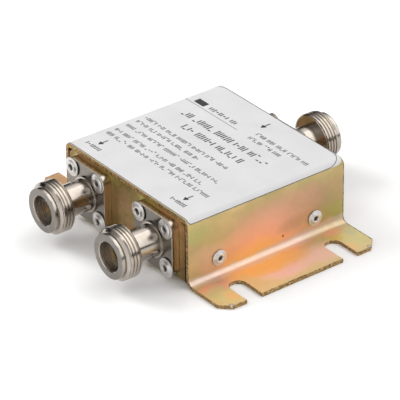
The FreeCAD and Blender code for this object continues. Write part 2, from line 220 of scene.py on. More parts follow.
class Finish:
    """A material under construction: its nodes are added one by one."""

    def __init__(self, name):
        self.material = bpy.data.materials.new(name)
        self.material.use_nodes = True
        self.tree = self.material.node_tree
        self.shader = self.tree.nodes["Principled BSDF"]

    def add(self, kind, links=None, **settings):
        """Add a node, with a value or another node's output for each socket named."""
        made = self.tree.nodes.new(kind)
        for key, value in settings.items():
            setattr(made, key, value)
        for socket, source in (links or {}).items():
            self.feed(made.inputs[socket], source)
        return made

    def feed(self, socket, source):
        """Link an output to a socket, or set the socket to a constant."""
        if isinstance(source, bpy.types.NodeSocket):
            self.tree.links.new(source, socket)
        else:
            socket.default_value = source

    def set(self, **values):
        """Feed the shader's sockets, named with underscores for spaces."""
        for name, value in values.items():
            self.feed(self.shader.inputs[name.replace("_", " ")], value)

    def place(self, scale=(1, 1, 1)):
        """Object coordinates in millimetres, stretched along each axis."""
        source = self.add("ShaderNodeTexCoord").outputs["Object"]
        sizes = tuple(value / mm for value in scale)
        return self.add("ShaderNodeMapping", {"Vector": source, "Scale": sizes}).outputs[0]

    def noise(self, vector, scale, detail=3.0, roughness=0.5):
        return self.add("ShaderNodeTexNoise", {"Vector": vector, "Scale": scale, "Detail": detail,
                                               "Roughness": roughness}).outputs[0]

    def math(self, operation, first, second=0.0):
        return self.add("ShaderNodeMath", {0: first, 1: second}, operation=operation).outputs[0]

    def ramp(self, factor, stops):
        made = self.add("ShaderNodeValToRGB", {"Fac": factor})
        stop_list = made.color_ramp.elements
        while len(stop_list) < len(stops):
            stop_list.new(1.0)
        for stop, (position, colour) in zip(stop_list, stops):
            stop.position = position
            stop.color = (*colour, 1.0)
        return made.outputs[0]

    def blend(self, factor, first, second):
        """Go from a first colour to a second by a factor. Sockets 6 and 7 are the colours."""
        first = (*first, 1.0) if isinstance(first, tuple) else first
        second = (*second, 1.0) if isinstance(second, tuple) else second
        return self.add("ShaderNodeMix", {0: factor, 6: first, 7: second},
                        data_type="RGBA").outputs[2]

    def remap(self, value, low, high, out_low, out_high):
        """Carry a value from one range to another, and hold it at the ends."""
        return self.add("ShaderNodeMapRange", {"Value": value, "From Min": low, "From Max": high,
                                               "To Min": out_low, "To Max": out_high}).outputs[0]

    def bump(self, height, distance, strength=1.0):
        made = self.add("ShaderNodeBump", {"Height": height, "Distance": distance * mm,
                                           "Strength": strength})
        self.feed(self.shader.inputs["Normal"], made.outputs[0])


def spot(finish, along, up, centre, reach):
    """A soft oval that is 1 at its centre and 0 past its reach."""
    across = finish.math("DIVIDE", finish.math("SUBTRACT", along, centre[0]), reach[0])
    above = finish.math("DIVIDE", finish.math("SUBTRACT", up, centre[1]), reach[1])
    squares = finish.math("ADD", finish.math("MULTIPLY", across, across),
                          finish.math("MULTIPLY", above, above))
    return finish.remap(squares, 0.1, 1.0, 1.0, 0.0)


def patched(finish, colour, along, up, patches):
    """Lay soft ovals over a colour, each with its tint, centre, reach and strength."""
    for tint, centre, reach, strength in patches:
        amount = finish.math("MULTIPLY", spot(finish, along, up, centre, reach), strength)
        colour = finish.blend(amount, colour, tint)
    return colour


def bare_corners(finish, x, y, z, colour):
    """Spots on the feet's upper edge where the plating is worn off, each with a dark rim."""
    dark_rim = (0.16, 0.14, 0.11)
    bare_zinc = (0.80, 0.80, 0.79)
    upper = finish.remap(z, 0.45, 0.75, 0.0, 0.8)
    for centre in worn_corners:
        for tint, reach in ((dark_rim, (1.0, 0.8)), (bare_zinc, (0.6, 0.45))):
            amount = finish.math("MULTIPLY", spot(finish, x, y, centre, reach), upper)
            colour = finish.blend(amount, colour, tint)
    return colour


def passivated_cover():
    """Yellow passivated zinc on the cover: gold, with orange, salmon, pink and green clouds."""
    made = Finish("passivated_cover")
    spots = made.place()
    x, y, z = made.add("ShaderNodeSeparateXYZ", {0: spots}).outputs
    # Where a point lies on the unfolded sheet: along its length, and up its side from the foot
    drift = made.math("SUBTRACT", made.noise(made.place((0.09, 0.09, 0.09)), 1.0, 2.0), 0.5)
    side = made.math("SIGN", x)
    beyond_side = made.math("SUBTRACT", made.math("ABSOLUTE", x), cover_half_width)
    outward = made.math("MAXIMUM", beyond_side, 0.0)
    up = made.math("ADD", made.math("SUBTRACT", z, outward), made.math("MULTIPLY", drift, 5.0))
    along = made.math("ADD", made.math("MULTIPLY", y, side), made.math("MULTIPLY", drift, 9.0))
    gold = (0.70, 0.53, 0.25)
    olive = (0.48, 0.41, 0.17)
    brown = (0.38, 0.24, 0.12)
    blush = (0.84, 0.52, 0.38)
    tan = (0.60, 0.41, 0.22)
    salmon = (0.92, 0.47, 0.32)
    rose = (0.68, 0.39, 0.27)
    orange = (0.97, 0.58, 0.20)
    green = (0.48, 0.48, 0.18)
    # Painted highlights along the feet's bends: pale pink, and golden towards one end
    bend_highlight = (0.78, 0.62, 0.57)
    bend_highlight_gold = (0.64, 0.50, 0.31)
    foot_gold = (0.90, 0.70, 0.38)
    foot_pink = (1.0, 0.66, 0.60)
    red = (0.95, 0.42, 0.33)
    lime = (0.78, 0.71, 0.33)
    pale_green = (0.70, 0.62, 0.31)
    grey_green = (0.66, 0.60, 0.38)
    peach = (0.98, 0.62, 0.30)
    amber = (0.80, 0.55, 0.16)
    umber = (0.50, 0.34, 0.16)
    fern = (0.44, 0.40, 0.08)
    left_tan = (0.72, 0.43, 0.23)
    grime = (0.34, 0.26, 0.12)
    burr_and_edge_shade = (0.10, 0.06, 0.02)
    pitted = (0.16, 0.05, 0.015)
    pit_middle = (5.7, 4.6)
    pit_reach = (0.5, 0.5)
    colour = made.ramp(made.noise(made.place((0.05, 0.05, 0.08)), 1.0, 3.0),
                       [(0.32, olive), (0.5, gold), (0.62, tan), (0.75, olive)])
    # Clouds on the sides and the feet's inner halves, with painted highlights along the bends, then
    # on the feet's outer halves by X and Y
    colour = patched(made, colour, along, up, [
        (tan, (0, 13), (22, 8), 0.8), (rose, (8, 12), (26, 7), 0.8),
        (green, (25, 8), (7, 7), 0.7), (olive, (-22, 15), (10, 8), 0.6),
        (green, (-26, 16.5), (7, 4), 0.7), (blush, (-21, 7), (10, 6), 0.6),
        (brown, (20, 10), (15, 11), 0.55), (rose, (12, 13), (9, 6), 0.5),
        (salmon, (-1, 3), (20, 13), 0.95), (orange, (-4, 0), (16, 8), 1.0),
        (brown, (10, 7.5), (6, 3), 0.3), (green, (-27, 3), (6, 9), 0.4),
        (foot_gold, (0, -11), (200, 9), 0.7), (red, (-23, -4.5), (8, 3.4), 0.85),
        (lime, (-22, -10), (7, 5), 0.85), (foot_pink, (-1, -9.5), (12, 4.6), 0.9),
        (foot_pink, (13, -9), (9, 6), 0.85), (lime, (25, -8), (7, 7), 0.7),
        (orange, (-4, -5), (16, 4.2), 0.9), (bend_highlight, (0, 0.8), (200, 2.8), 0.8),
        (bend_highlight_gold, (27, 0.4), (18, 2.6), 0.9), (umber, (27, 13), (7, 9), 0.6),
        (fern, (25, 6.0), (6, 3.2), 0.55)])
    colour = patched(made, colour, x, y, [
        (left_tan, (-40, -27), (14, 16), 1.0), (pale_green, (35.9, -23.4), (2.4, 3.6), 0.8),
        (pale_green, (37.4, -26.2), (2.8, 2.6), 0.7), (peach, (41.4, -22.2), (3.2, 2.4), 0.85),
        (salmon, (32.6, 21.5), (2.4, 4.4), 0.8), (grey_green, (35.2, 26.0), (2.8, 2.2), 0.65),
        (amber, (35.8, 20.4), (2.4, 2.6), 0.7), (peach, (41.8, 21.0), (3.0, 2.8), 0.7)])
    fleck = made.noise(spots, 4.0, 2.0)
    colour = made.blend(made.remap(fleck, 0.35, 0.75, 0.0, 0.22), colour, grime)
    # A ragged dark lip along the input end's edge and the feet's outer edges, partly burr and
    # partly painted shade where the edges round over
    back_lip = made.remap(y, cover_half_depth - 0.45, cover_half_depth - 0.25, 0.0, 1.0)
    foot_lip = made.remap(made.math("ABSOLUTE", x), foot_edge - 0.4, foot_edge - 0.2, 0.0, 1.0)
    lip = made.math("MAXIMUM", back_lip, foot_lip)
    ragged = made.remap(made.noise(spots, 1.3, 3.0), 0.43, 0.57, 0.3, 1.0)
    colour = made.blend(made.math("MULTIPLY", lip, ragged), colour, burr_and_edge_shade)
    pit = made.math("MULTIPLY", spot(made, y, z, pit_middle, pit_reach),
                    made.math("GREATER_THAN", x, 0.0))
    colour = made.blend(pit, colour, pitted)
    colour = bare_corners(made, x, y, z, colour)
    made.set(Base_Color=colour, Metallic=0.82,
             Roughness=made.remap(made.noise(spots, 0.5), 0.3, 0.7, 0.42, 0.54))
    made.bump(made.noise(made.place((1.0, 0.12, 1.0)), 2.5, 3.0), 0.02, 0.35)
    return made.material


def passivated_tray():
    """The same finish on the tray: olive brown, greenish and reddish blotches, painted highlight
    and shade.
    """
    made = Finish("passivated_tray")
    # Orange and green tints; along the walls' top they are laid on as a painted highlight
    ember_highlight = (0.86, 0.46, 0.20)
    moss_and_highlight = (0.58, 0.50, 0.11)
    # Painted shade for two dark upright bands on the walls
    shade = (0.17, 0.11, 0.035)
    side_shade_brown = (0.20, 0.10, 0.035)
    black = (0.012, 0.009, 0.006)
    blotch_tan = (0.52, 0.34, 0.18)
    grime = (0.20, 0.15, 0.06)
    spots = made.place()
    colour = made.ramp(made.noise(made.place((0.16, 0.16, 0.13)), 1.0, 4.0, 0.6),
                       [(0.34, (0.23, 0.20, 0.05)), (0.46, (0.34, 0.245, 0.08)),
                        (0.56, (0.44, 0.24, 0.11)), (0.68, (0.27, 0.25, 0.06))])
    blotch = made.noise(spots, 0.7, 4.0, 0.65)
    colour = made.blend(made.remap(blotch, 0.45, 0.65, 0.0, 0.45), colour, blotch_tan)
    fleck = made.noise(spots, 4.0, 2.0)
    colour = made.blend(made.remap(fleck, 0.35, 0.75, 0.0, 0.4), colour, grime)
    x, y, z = made.add("ShaderNodeSeparateXYZ", {0: spots}).outputs
    # Blotches; those along the walls' top are a painted highlight, and two dark upright bands are
    # painted shade
    colour = patched(made, colour, x, z, [
        (ember_highlight, (20, 19.5), (11, 3.6), 0.8), (moss_and_highlight, (11, 20), (6, 2.6), 0.8),
        (moss_and_highlight, (-9, 19.8), (7, 2.2), 0.5), (ember_highlight, (-19, 20), (5, 2.4), 0.6),
        (moss_and_highlight, (-24.5, 12), (3.5, 9), 0.5), (shade, (9.5, 9), (3.0, 14), 0.45),
        (shade, (-5.5, 10), (2.0, 12), 0.5)])
    # Painted shade darkening the walls towards the cover's sides
    outward = made.math("ABSOLUTE", x)
    colour = made.blend(made.remap(outward, *wall_shade, 0.0, 0.62), colour, side_shade_brown)
    # A black painted shadow in the seam beside the cover's sides, leaning out as it rises
    upright = made.math("SUBTRACT", outward, made.math("MULTIPLY", z, seam_lean))
    seam = made.remap(upright, seam_start, seam_start + seam_blur, 0.0, 0.95)
    colour = made.blend(seam, colour, black)
    made.set(Base_Color=colour, Metallic=0.82,
             Roughness=made.remap(made.noise(spots, 0.5), 0.3, 0.7, 0.34, 0.46))
    made.bump(made.noise(made.place((0.12, 0.12, 1.0)), 2.5, 3.0), 0.02, 0.35)
    return made.material


def sheared_edge():
    """The sheets' cut edges: brown gold, rough and speckled from the shear."""
    made = Finish("sheared_edge")
    spots = made.place()
    grain = made.noise(spots, 1.7, 4.0, 0.75)
    colour = made.ramp(grain, [(0.33, (0.04, 0.024, 0.010)), (0.42, (0.20, 0.12, 0.045)),
                               (0.54, (0.42, 0.26, 0.10)), (0.67, (0.78, 0.58, 0.28))])
    x, y, z = made.add("ShaderNodeSeparateXYZ", {0: spots}).outputs
    colour = bare_corners(made, x, y, z, colour)
    made.set(Base_Color=colour, Metallic=0.7, Roughness=made.remap(grain, 0.3, 0.7, 0.62, 0.4))
    made.bump(grain, 0.06, 0.7)
    return made.material


def turned_nickel():
    """Bright nickel plating over turned brass, with faint tool rings."""
    made = Finish("turned_nickel")
    rings = made.noise(made.place((0.05, 6.0, 0.05)), 1.0, 3.0)
    cloud = made.noise(made.place(), 0.35, 3.0)
    colour = made.ramp(cloud, [(0.3, (0.40, 0.355, 0.305)), (0.7, (0.475, 0.425, 0.375))])
    made.set(Base_Color=colour, Metallic=1.0,
             Roughness=made.remap(rings, 0.3, 0.7, 0.13, 0.24))
    made.bump(rings, 0.012, 0.4)
    return made.material


def faced_nickel_painted_shade():
    """The sockets' flat front faces: the same plating, duller and painted darker as shade, over
    finer tool marks.
    """
    made = Finish("faced_nickel_painted_shade")
    cloud = made.noise(made.place(), 0.5, 4.0, 0.6)
    colour = made.ramp(cloud, [(0.3, (0.20, 0.182, 0.160)), (0.7, (0.255, 0.234, 0.210))])
    made.set(Base_Color=colour, Metallic=1.0, Roughness=made.remap(cloud, 0.3, 0.7, 0.18, 0.3))
    made.bump(made.noise(made.place(), 5.0, 3.0), 0.01, 0.4)
    return made.material


def bored_nickel_painted_light():
    """The sockets' bores: the same plating, painted brighter as light within the bore, with rings
    from the boring tool.
    """
    made = Finish("bored_nickel_painted_light")
    rings = made.noise(made.place((0.08, 4.0, 0.08)), 1.0, 3.0)
    colour = made.ramp(rings, [(0.3, (0.72, 0.66, 0.60)), (0.7, (0.86, 0.80, 0.74))])
    made.set(Base_Color=colour, Metallic=1.0, Roughness=made.remap(rings, 0.3, 0.7, 0.2, 0.3))
    made.bump(rings, 0.02, 0.4)
    return made.material


def milled_nickel_with_reflection():
    """The flanges' milled sides: the same plating, painted brighter and warmer as a reflection of
    the wall, with lengthwise tool marks.
    """
    made = Finish("milled_nickel_with_reflection")
    marks = made.noise(made.place((0.2, 5.0, 0.2)), 1.0, 3.0)
    colour = made.ramp(marks, [(0.3, (0.68, 0.57, 0.43)), (0.7, (0.80, 0.68, 0.53))])
    made.set(Base_Color=colour, Metallic=1.0, Roughness=made.remap(marks, 0.3, 0.7, 0.1, 0.2))
    made.bump(marks, 0.01, 0.4)
    return made.material


def satin_aluminium():
    """The rivets' heads: aluminium with a fine, even grain."""
    made = Finish("satin_aluminium")
    grain = made.noise(made.place(), 3.0, 4.0, 0.6)
    colour = made.ramp(grain, [(0.3, (0.60, 0.575, 0.55)), (0.7, (0.75, 0.725, 0.70))])
    made.set(Base_Color=colour, Metallic=0.9, Roughness=made.remap(grain, 0.3, 0.7, 0.28, 0.42))
    made.bump(grain, 0.02, 0.4)
    return made.material


def broken_steel():
    """The torn ends of the rivets' steel stems: dark and coarse."""
    made = Finish("broken_steel")
    grain = made.noise(made.place(), 6.0, 4.0, 0.7)
    colour = made.ramp(grain, [(0.35, (0.015, 0.015, 0.016)), (0.7, (0.12, 0.115, 0.11))])
    made.set(Base_Color=colour, Metallic=0.9, Roughness=0.5)
    made.bump(grain, 0.06, 0.8)
    return made.material


def label_film():
    """White printed film, semi matt, very slightly uneven where it is stuck down."""
    made = Finish("label_film")
    cloud = made.noise(made.place(), 0.12, 3.0)
    colour = made.ramp(cloud, [(0.3, (0.61, 0.605, 0.61)), (0.7, (0.65, 0.645, 0.648))])
    made.set(Base_Color=colour, Roughness=made.remap(cloud, 0.3, 0.7, 0.34, 0.42))
    made.shader.inputs["Specular IOR Level"].default_value = 0.45
    made.bump(made.noise(made.place(), 0.5, 2.0), 0.03, 0.15)
    return made.material


def print_ink(name, dark, light):
    """The label's ink, a little uneven in its cover."""
    made = Finish(name)
    grain = made.noise(made.place(), 3.0, 3.0, 0.6)
    colour = made.ramp(grain, [(0.35, dark), (0.75, light)])
    made.set(Base_Color=colour, Roughness=made.remap(grain, 0.3, 0.7, 0.4, 0.55))
    return made.material


def white_fluoropolymer():
    """The insulators: waxy white, with fine rings from the lathe."""
    made = Finish("white_fluoropolymer")
    rings = made.noise(made.place((0.1, 5.0, 0.1)), 1.0, 2.0)
    colour = made.ramp(rings, [(0.3, (0.72, 0.70, 0.66)), (0.7, (0.82, 0.81, 0.78))])
    made.set(Base_Color=colour, Roughness=made.remap(rings, 0.3, 0.7, 0.35, 0.5))
    made.bump(rings, 0.02, 0.4)
    return made.material


def gold_plate():
    """The contacts' plating: gold painted dull and dark as shade down in the bores."""
    made = Finish("gold_plate")
    cloud = made.noise(made.place(), 1.2, 3.0)
    colour = made.ramp(cloud, [(0.3, (0.58, 0.42, 0.20)), (0.7, (0.68, 0.52, 0.28))])
    made.set(Base_Color=colour, Metallic=1.0, Roughness=made.remap(cloud, 0.3, 0.7, 0.14, 0.26))
    made.bump(made.noise(made.place((0.1, 6.0, 0.1)), 1.0, 2.0), 0.01, 0.4)
    return made.material


def board_laminate():
    """Glass laminate: yellow green, with the weave of its cloth just showing."""
    made = Finish("board_laminate")
    spots = made.place()
    warp = made.add("ShaderNodeTexWave", {"Vector": spots, "Scale": 1.1, "Distortion": 0.6},
                    bands_direction="X").outputs[1]
    weft = made.add("ShaderNodeTexWave", {"Vector": spots, "Scale": 1.1, "Distortion": 0.6},
                    bands_direction="Y").outputs[1]
    cloth = made.math("MULTIPLY", warp, weft)
    colour = made.blend(cloth, (0.30, 0.30, 0.10), (0.42, 0.40, 0.16))
    made.set(Base_Color=colour, Roughness=made.remap(cloth, 0.0, 1.0, 0.42, 0.34))
    made.bump(cloth, 0.02, 0.4)
    return made.material


def copper_foil():
    """The board's copper, a little tarnished."""
    made = Finish("copper_foil")
    cloud = made.noise(made.place(), 0.4, 4.0, 0.6)
    colour = made.ramp(cloud, [(0.3, (0.50, 0.19, 0.09)), (0.55, (0.74, 0.34, 0.18)),
                               (0.75, (0.62, 0.22, 0.12))])
    made.set(Base_Color=colour, Metallic=1.0, Roughness=made.remap(cloud, 0.3, 0.7, 0.26, 0.42))
    made.bump(made.noise(made.place(), 5.0, 2.0), 0.01, 0.4)
    return made.material


def resistor_ceramic():
    """A dark glazed chip between two bright metal ends."""
    end_start = 0.7
    tinned = (0.62, 0.62, 0.60)
    made = Finish("resistor_ceramic")
    spots = made.place()
    x = made.add("ShaderNodeSeparateXYZ", {0: spots}).outputs[0]
    end = made.math("GREATER_THAN", made.math("ABSOLUTE", x), end_start)
    grain = made.noise(spots, 4.0, 3.0)
    glaze = made.ramp(grain, [(0.3, (0.012, 0.012, 0.014)), (0.7, (0.03, 0.03, 0.035))])
    made.set(Base_Color=made.blend(end, glaze, tinned), Metallic=end,
             Roughness=made.remap(grain, 0.3, 0.7, 0.22, 0.38))
    made.bump(grain, 0.02, 0.4)
    return made.material


def soft_solder():
    """Solder as it sets: grey, smooth and slightly lumpy."""
    made = Finish("soft_solder")
    cloud = made.noise(made.place(), 1.6, 3.0)
    colour = made.ramp(cloud, [(0.3, (0.50, 0.51, 0.52)), (0.7, (0.70, 0.70, 0.71))])
    made.set(Base_Color=colour, Metallic=1.0, Roughness=made.remap(cloud, 0.3, 0.7, 0.2, 0.4))
    made.bump(cloud, 0.06, 0.6)
    return made.material


cover_finish = passivated_cover()
tray_finish = passivated_tray()
edge_finish = sheared_edge()
nickel = turned_nickel()
bore_nickel_painted_light = bored_nickel_painted_light()
face_nickel_painted_shade = faced_nickel_painted_shade()
side_nickel_with_reflection = milled_nickel_with_reflection()
aluminium = satin_aluminium()
stem_steel = broken_steel()
film = label_film()
ink_black = print_ink("print_black", (0.012, 0.012, 0.014), (0.05, 0.05, 0.055))
ink_grey = print_ink("print_grey", (0.10, 0.10, 0.11), (0.20, 0.20, 0.21))
fluoropolymer = white_fluoropolymer()
gold = gold_plate()
solder = soft_solder()


def merged_copy(node):
    """A CAD node's mesh, with its loose triangles joined and its flat faces made whole."""
    bm = bmesh.new()
    bm.from_mesh(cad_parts[node].data)
    bmesh.ops.remove_doubles(bm, verts=bm.verts, dist=1e-7)
    bmesh.ops.dissolve_limit(bm, angle_limit=math.radians(0.5), verts=bm.verts, edges=bm.edges)
    return bm


def is_cover_edge(face):
    """Whether a face of the cover is cut metal and not the sheet's surface."""
    middle = face.calc_center_median() / mm
    at_foot = abs(middle.x) > cover_half_width + foot_flat_start and abs(face.normal.z) < 0.5
    at_end = abs(middle.y) > cover_half_depth - edge_slack and abs(face.normal.y) > 0.9
    return at_foot or at_end


def is_tray_edge(face):
    """Whether a face of the tray is cut metal and not the sheet's surface."""
    middle = face.calc_center_median() / mm
    from_middle = abs(abs(middle.y) - (end_wall_face - sheet / 2))
    in_wall = from_middle < sheet / 2 + edge_slack and middle.z > tray_bend_top
    return in_wall and abs(face.normal.y) < 0.3


def folded_sheet(node, surface, is_edge):
    """A housing sheet with its cut edges rounded and given their own finish."""
    bm = merged_copy(node)
    for face in bm.faces:
        face.material_index = 1 if is_edge(face) else 0
    soften(bm, soft_edge * mm)
    piece(bm, f"{node}_sheet", [surface, edge_finish], [node], turn_out=False)


def thread_sleeve(bm):
    """A helical thread round a tube, cut square at the back and to a cone at the front."""
    root = thread_radius - thread_depth
    flank = thread_depth * math.tan(thread_flank_angle)
    crest_flat = thread_crest_share * thread_pitch
    root_flat = (thread_pitch - crest_flat - 2 * flank) / 2
    heights = [0.0, root_flat, root_flat + flank, root_flat + flank + crest_flat,
               root_flat + 2 * flank + crest_flat, thread_pitch]
    radii = [root, root, thread_radius, thread_radius, root, root]
    turns = math.ceil((thread_end - barrel_start) / thread_pitch) + 2
    first = barrel_start - thread_phase * thread_pitch
    tooth = [bm.verts.new((radius, 0, first + height)) for radius, height in zip(radii, heights)]
    sides = [bm.edges.new(pair) for pair in zip(tooth, tooth[1:])]
    bmesh.ops.spin(bm, geom=tooth + sides, cent=(0, 0, 0), axis=(0, 0, 1),
                   angle=2 * math.pi * turns, steps=thread_steps * turns,
                   dvec=(0, 0, thread_pitch / thread_steps), use_merge=False)
    bmesh.ops.remove_doubles(bm, verts=bm.verts, dist=1e-3)
    for height, clear in ((barrel_start, "clear_inner"), (thread_end, "clear_outer")):
        bmesh.ops.bisect_plane(bm, geom=bm.verts[:] + bm.edges[:] + bm.faces[:],
                               plane_co=(0, 0, height), plane_no=(0, 0, 1), **{clear: True})
    for vert in bm.verts:
        height = vert.co.z
        radius = vert.co.to_2d().length
        filled = min(max((height - thread_fade) / thread_fade_length, 0.0), 1.0)
        wanted = max(radius, root + thread_depth * filled)
        wanted = min(wanted, thread_radius - thread_run_out + height - barrel_start)
        wanted = min(wanted, thread_radius - thread_cone_slope * max(height - thread_cone_start, 0))
        vert.co.x *= wanted / radius
        vert.co.y *= wanted / radius
    inner = []
    for height in (barrel_start, thread_end):
        rim = [edge for edge in bm.edges if len(edge.link_faces) == 1
               and all(abs(vert.co.z - height) < 1e-4 for vert in edge.verts)]
        grown = bmesh.ops.extrude_edge_only(bm, edges=rim)["geom"]
        for vert in [item for item in grown if isinstance(item, bmesh.types.BMVert)]:
            share = (barrel_core - sleeve_lap) / vert.co.to_2d().length
            vert.co.x *= share
            vert.co.y *= share
        inner += [item for item in grown if isinstance(item, bmesh.types.BMEdge)
                  and len(item.link_faces) == 1]
    bmesh.ops.bridge_loops(bm, edges=inner)


def socket_body():
    """A turned socket on its square flange, standing on the flange's back face.

    Its materials by index: 0 turned, 1 in the bore, 2 on the front faces, 3 on the flange's sides.
    """
    bm = bmesh.new()
    outside = [(collar_radius, 0.0), (collar_radius, collar_top), (neck_radius, collar_top),
               (neck_radius, barrel_start + core_set_back),
               (barrel_core, barrel_start + core_set_back),
               (barrel_core, groove_start), (groove_radius, groove_start),
               (groove_radius, pilot_start), (pilot_radius, pilot_start),
               (pilot_radius, mouth_height)]
    inside = [(mouth_radius, mouth_height), (lead_in_radius, mouth_height - lead_in_depth),
              (bore_radius, mouth_height - bore_taper_depth), (bore_radius, bore_floor),
              (seat_radius, bore_floor)]
    spun(bm, [(seat_radius, 0.0)] + outside + inside, closed=True)
    soften(bm, turned_edge)
    for face in bm.faces:
        middle = face.calc_center_median()
        in_bore = middle.to_2d().length < bore_finish_radius and middle.z > bore_floor - turned_edge
        if in_bore:
            face.material_index = 1
        elif all(vert.co.z > mouth_height - face_slack for vert in face.verts):
            face.material_index = 2
    sleeve = bmesh.new()
    thread_sleeve(sleeve)
    flange = bmesh.new()
    bmesh.ops.create_cube(flange, size=1.0)
    bmesh.ops.scale(flange, vec=(flange_side, flange_side, flange_thickness), verts=flange.verts)
    bmesh.ops.translate(flange, vec=(0, 0, flange_thickness / 2), verts=flange.verts)
    upright = [edge for edge in flange.edges
               if abs(edge.verts[0].co.z - edge.verts[1].co.z) > flange_thickness / 2]
    bmesh.ops.bevel(flange, geom=upright, offset=flange_corner, affect="EDGES", segments=10,
                    profile=0.5, material=-1)
    soften(flange, milled_edge, angle=60)
    for face in flange.faces:
        outward = [max(abs(vert.co.x), abs(vert.co.y)) for vert in face.verts]
        if all(vert.co.z > flange_thickness - face_slack for vert in face.verts):
            face.material_index = 2
        elif min(outward) > flange_side / 2 - face_slack:
            face.material_index = 3
    for part in (sleeve, flange):
        bmesh.ops.recalc_face_normals(part, faces=part.faces)
        held = bpy.data.meshes.new("held")
        part.to_mesh(held)
        part.free()
        bm.from_mesh(held)
        bpy.data.meshes.remove(held)
    return bm


def rivet(head, height, shank, hole, bulb, grip, bulb_length):
    """A blind rivet's domed head, shank and bulb, with the stem's torn end in its open hole."""
    bm = bmesh.new()
    hole_floor = 0.12
    stem_hole = [(0, hole_floor), (hole - 0.06, hole_floor), (hole - 0.02, 0.7 * height),
                 (hole + 0.06, 0.9 * height), (hole + 0.09 * head, height)]
    dome = [(hole + 0.2 * head, 0.98 * height), (0.66 * head, 0.78 * height),
            (0.72 * head, 0.62 * height), (0.8 * head, 0.54 * height)]
    rim = [(0.92 * head, 0.5 * height), (head - 0.04, 0.44 * height), (head, 0.36 * height),
           (head - 0.04, 0.28 * height)]
    underside = [(head - 0.55, 0.04), (head - 0.57, 0.0), (shank, 0.0)]
    tail = -grip - bulb_length
    set_end = [(shank, -grip), (bulb - 0.1, -grip - 0.15), (bulb, -grip - 0.4 * bulb_length),
               (bulb - 0.2, tail + 0.2), (0.65 * bulb, tail), (0, tail)]
    spun(bm, stem_hole + dome + rim + underside + set_end, steps=64)
    body_faces = len(bm.faces)
    stem = 0.8 * hole
    stem_foot = hole_floor - 0.04
    spun(bm, [(0, stem_foot), (stem, stem_foot), (stem, 0.3 * height), (0.6 * stem, 0.38 * height),
              (0.2, 0.5 * height), (0, 0.52 * height)], steps=24)
    bm.faces.ensure_lookup_table()
    for face in bm.faces[body_faces:]:
        face.material_index = 1
    return bm


def dashes(bm, x_low, x_high, y, height, stroke, seed):
    """A row of small dashes in groups, most upright, each a thin flat block on the label."""
    draw = random.Random(seed)
    fewest, most = 4, 9
    lying_width = 2.2 * stroke
    group_gap = 2.6 * stroke
    x = x_low
    left = draw.randint(fewest, most)
    while x < x_high:
        tall = height * draw.uniform(0.72, 1.0)
        width = draw.choice([stroke, stroke, stroke, lying_width])
        rise = 0.0
        if width == lying_width:
            tall = stroke
            rise = draw.choice([-0.5, 0.0, 0.5]) * (height - stroke)
        added = bmesh.ops.create_cube(bm, size=1.0)["verts"]
        bmesh.ops.scale(bm, vec=(width, tall, 2 * print_layer), verts=added)
        bmesh.ops.translate(bm, vec=(x + width / 2, y + rise, label_face), verts=added)
        left -= 1
        x += width + stroke * draw.uniform(0.75, 1.25)
        if left == 0:
            x += group_gap
            left = draw.randint(fewest, most)


def thicken(bm, faces, rise):
    """Pull flat faces straight up into a closed block."""
    top = bmesh.ops.extrude_face_region(bm, geom=faces)["geom"]
    bmesh.ops.translate(bm, vec=(0, 0, rise),
                        verts=[item for item in top if isinstance(item, bmesh.types.BMVert)])


def flat_shape(bm, corners):
    """A thin flat block of the given outline, printed on the label."""
    ring = [bm.verts.new((x, y, label_face - print_layer)) for x, y in corners]
    thicken(bm, [bm.faces.new(ring)], 2 * print_layer)


def bar(bm, x_low, x_high, y_low, y_high):
    """A printed bar."""
    flat_shape(bm, [(x_low, y_low), (x_high, y_low), (x_high, y_high), (x_low, y_high)])


def arrow(bm, x, y, way):
    """An arrow that shows which way the signal runs through a port."""
    half_line = 0.22
    half_shaft = 1.3
    half_head = 1.0
    bar(bm, x - half_line, x + half_line, y - half_shaft, y + half_shaft)
    tip = y + way * 2.4
    base = y + way * 0.8
    corners = [(x - half_head, base), (x + half_head, base), (x, tip)]
    flat_shape(bm, corners if way > 0 else corners[::-1])


def onto_label(bm):
    """Bend flat print down over the label's two rounded edges."""
    bend_start = cover_half_width - top_bend_radius
    for vert in bm.verts:
        over = abs(vert.co.x) - bend_start
        if over > 0:
            radius = vert.co.z - (cover_height - top_bend_radius)
            angle = over / (label_face - cover_height + top_bend_radius)
            side = math.copysign(1, vert.co.x)
            vert.co.x = side * (bend_start + radius * math.sin(angle))
            vert.co.z = cover_height - top_bend_radius + radius * math.cos(angle)


def rounded_field(bm, inset, back_radius, front_radius):
    """A flat sheet as large as the unrolled label, less an inset, with rounded corners.

    It returns where the label's bends start and how far the sheet reaches along X.
    """
    bend_start = cover_half_width - top_bend_radius
    reach_x = bend_start + label_wrap * (label_face - cover_height + top_bend_radius) - inset
    bmesh.ops.create_grid(bm, x_segments=1, y_segments=1, size=1.0)
    bmesh.ops.scale(bm, vec=(reach_x, label_half_depth - inset, 1), verts=bm.verts)
    back = [vert for vert in bm.verts if vert.co.y > 0]
    front = [vert for vert in bm.verts if vert.co.y < 0]
    for corners, radius in ((back, back_radius), (front, front_radius)):
        bmesh.ops.bevel(bm, geom=corners, offset=radius, affect="VERTICES", segments=14,
                        profile=0.5, material=-1)
    return bend_start, reach_x


def divide_at_bends(bm, bend_start, reach_x, steps=10):
    """Cut a flat sheet into strips where it will follow the cover's rounded edges."""
    for side in (-1, 1):
        for step in range(steps):
            where = side * (bend_start + step / steps * (reach_x - bend_start))
            bmesh.ops.bisect_plane(bm, geom=bm.verts[:] + bm.edges[:] + bm.faces[:],
                                   plane_co=(where, 0, 0), plane_no=(1, 0, 0))


